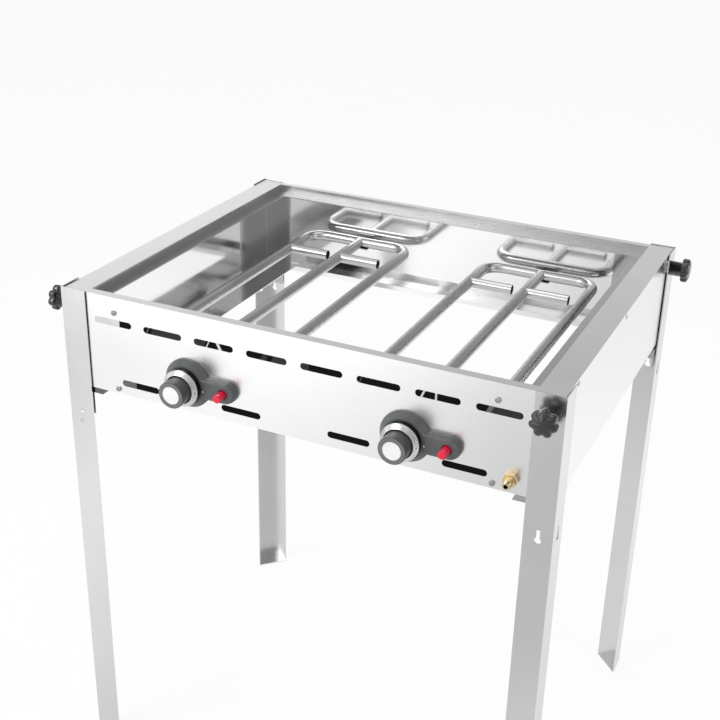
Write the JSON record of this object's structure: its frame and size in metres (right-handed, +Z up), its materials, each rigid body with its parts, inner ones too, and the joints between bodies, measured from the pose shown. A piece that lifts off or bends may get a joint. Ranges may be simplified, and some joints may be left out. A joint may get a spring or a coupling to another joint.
{
  "type": "free-standing gas burner range",
  "caption": "Open-topped gas cooking stand: folded stainless frame on clamped angle legs, U-shaped tube burners, push-and-turn gas knobs, push-button ignition and a hose inlet.",
  "frame": {"origin": "centre of the whole stand's bounding box in plan, knobs included, on the floor", "axes": "+X to the right as seen from the controls, +Y to the rear, +Z up"},
  "size_m": [0.74, 0.608, 0.75],
  "materials": {
    "sheet_steel": "polished",
    "leg_steel": "satin",
    "bracket_steel": "satin",
    "tube_steel": "satin",
    "screw_steel": "polished",
    "grip_plastic": "gloss",
    "bezel_plastic": "satin",
    "knob_plastic": "satin",
    "ring_metal": "satin",
    "dial_plastic": "gloss",
    "button_plastic": "gloss",
    "igniter_plastic": "gloss",
    "brass": "polished",
    "ceramic": "gloss",
    "lead_rubber": "matt"
  },
  "bodies": {
    "frame": {"front_panel": "sheet_steel", "rear_panel": "sheet_steel", "left_panel": "sheet_steel", "right_panel": "sheet_steel", "corner_fl": "bracket_steel", "leg_fl": "leg_steel", "corner_fr": "bracket_steel", "leg_fr": "leg_steel", "corner_br": "bracket_steel", "leg_br": "leg_steel", "corner_bl": "bracket_steel", "leg_bl": "leg_steel", "bezel_left": "bezel_plastic", "bezel_right": "bezel_plastic", "ring_left": "ring_metal", "ring_right": "ring_metal", "igniter_left": "igniter_plastic", "igniter_right": "igniter_plastic", "valve_left": "brass", "valve_right": "brass", "injector_left": "brass", "injector_right": "brass", "burner_left": "tube_steel", "burner_right": "tube_steel", "mixer_left": "tube_steel", "mixer_right": "tube_steel", "front_rest_left": "bracket_steel", "front_rest_right": "bracket_steel", "rear_rest_left": "bracket_steel", "rear_rest_right": "bracket_steel", "electrode_left": "ceramic", "electrode_right": "ceramic", "lead_left": "lead_rubber", "lead_right": "lead_rubber", "gas_pipe": "brass", "inlet_elbow": "brass", "inlet_nut": "brass", "hose_nozzle": "brass", "screws": "screw_steel", "side_rivets": "screw_steel"},
    "clamp_screw_fl": {"clamp_screw_fl": "screw_steel"},
    "clamp_grip_fl": {"clamp_grip_fl": "grip_plastic"},
    "clamp_screw_fr": {"clamp_screw_fr": "screw_steel"},
    "clamp_grip_fr": {"clamp_grip_fr": "grip_plastic"},
    "clamp_screw_br": {"clamp_screw_br": "screw_steel"},
    "clamp_grip_br": {"clamp_grip_br": "grip_plastic"},
    "clamp_screw_bl": {"clamp_screw_bl": "screw_steel"},
    "clamp_grip_bl": {"clamp_grip_bl": "grip_plastic"},
    "spindle_left": {"spindle_left": "brass"},
    "knob_left": {"knob_left": "knob_plastic", "dial_left": "dial_plastic"},
    "button_left": {"button_left": "button_plastic"},
    "spindle_right": {"spindle_right": "brass"},
    "knob_right": {"knob_right": "knob_plastic", "dial_right": "dial_plastic"},
    "button_right": {"button_right": "button_plastic"}
  },
  "joints": [
    {"name": "clamp_out_fl", "type": "slide", "parent": "frame", "child": "clamp_screw_fl", "axis": [-1, 0, 0], "range_m": [0, 0.005]},
    {"name": "clamp_turn_fl", "type": "hinge", "parent": "clamp_screw_fl", "child": "clamp_grip_fl", "pos_m": [-0.342, -0.2455, 0.724], "axis": [-1, 0, 0], "range_deg": [0, 1440]},
    {"name": "clamp_out_fr", "type": "slide", "parent": "frame", "child": "clamp_screw_fr", "axis": [0, -1, 0], "range_m": [0, 0.005]},
    {"name": "clamp_turn_fr", "type": "hinge", "parent": "clamp_screw_fr", "child": "clamp_grip_fr", "pos_m": [0.3235, -0.264, 0.724], "axis": [0, -1, 0], "range_deg": [0, 1440]},
    {"name": "clamp_out_br", "type": "slide", "parent": "frame", "child": "clamp_screw_br", "axis": [1, 0, 0], "range_m": [0, 0.005]},
    {"name": "clamp_turn_br", "type": "hinge", "parent": "clamp_screw_br", "child": "clamp_grip_br", "pos_m": [0.342, 0.2575, 0.724], "axis": [1, 0, 0], "range_deg": [0, 1440]},
    {"name": "clamp_out_bl", "type": "slide", "parent": "frame", "child": "clamp_screw_bl", "axis": [0, 1, 0], "range_m": [0, 0.005]},
    {"name": "clamp_turn_bl", "type": "hinge", "parent": "clamp_screw_bl", "child": "clamp_grip_bl", "pos_m": [-0.3235, 0.276, 0.724], "axis": [0, 1, 0], "range_deg": [0, 1440]},
    {"name": "knob_push_left", "type": "slide", "parent": "frame", "child": "spindle_left", "axis": [0, 1, 0], "range_m": [0, 0.003], "stiffness_N_per_m": 500, "springref_m": -0.006},
    {"name": "knob_turn_left", "type": "hinge", "parent": "spindle_left", "child": "knob_left", "pos_m": [-0.1515, -0.261, 0.653], "axis": [0, -1, 0], "range_deg": [0, 180]},
    {"name": "button_push_left", "type": "slide", "parent": "frame", "child": "button_left", "axis": [0, 1, 0], "range_m": [0, 0.006], "stiffness_N_per_m": 800, "springref_m": -0.004},
    {"name": "knob_push_right", "type": "slide", "parent": "frame", "child": "spindle_right", "axis": [0, 1, 0], "range_m": [0, 0.003], "stiffness_N_per_m": 500, "springref_m": -0.006},
    {"name": "knob_turn_right", "type": "hinge", "parent": "spindle_right", "child": "knob_right", "pos_m": [0.1515, -0.261, 0.653], "axis": [0, -1, 0], "range_deg": [0, 180]},
    {"name": "button_push_right", "type": "slide", "parent": "frame", "child": "button_right", "axis": [0, 1, 0], "range_m": [0, 0.006], "stiffness_N_per_m": 800, "springref_m": -0.004}
  ],
  "couplings": [
    {"joint": "clamp_turn_fl", "follows": "clamp_out_fl", "rad_per_m": 5026.5},
    {"joint": "clamp_turn_fr", "follows": "clamp_out_fr", "rad_per_m": 5026.5},
    {"joint": "clamp_turn_br", "follows": "clamp_out_br", "rad_per_m": 5026.5},
    {"joint": "clamp_turn_bl", "follows": "clamp_out_bl", "rad_per_m": 5026.5}
  ]
}
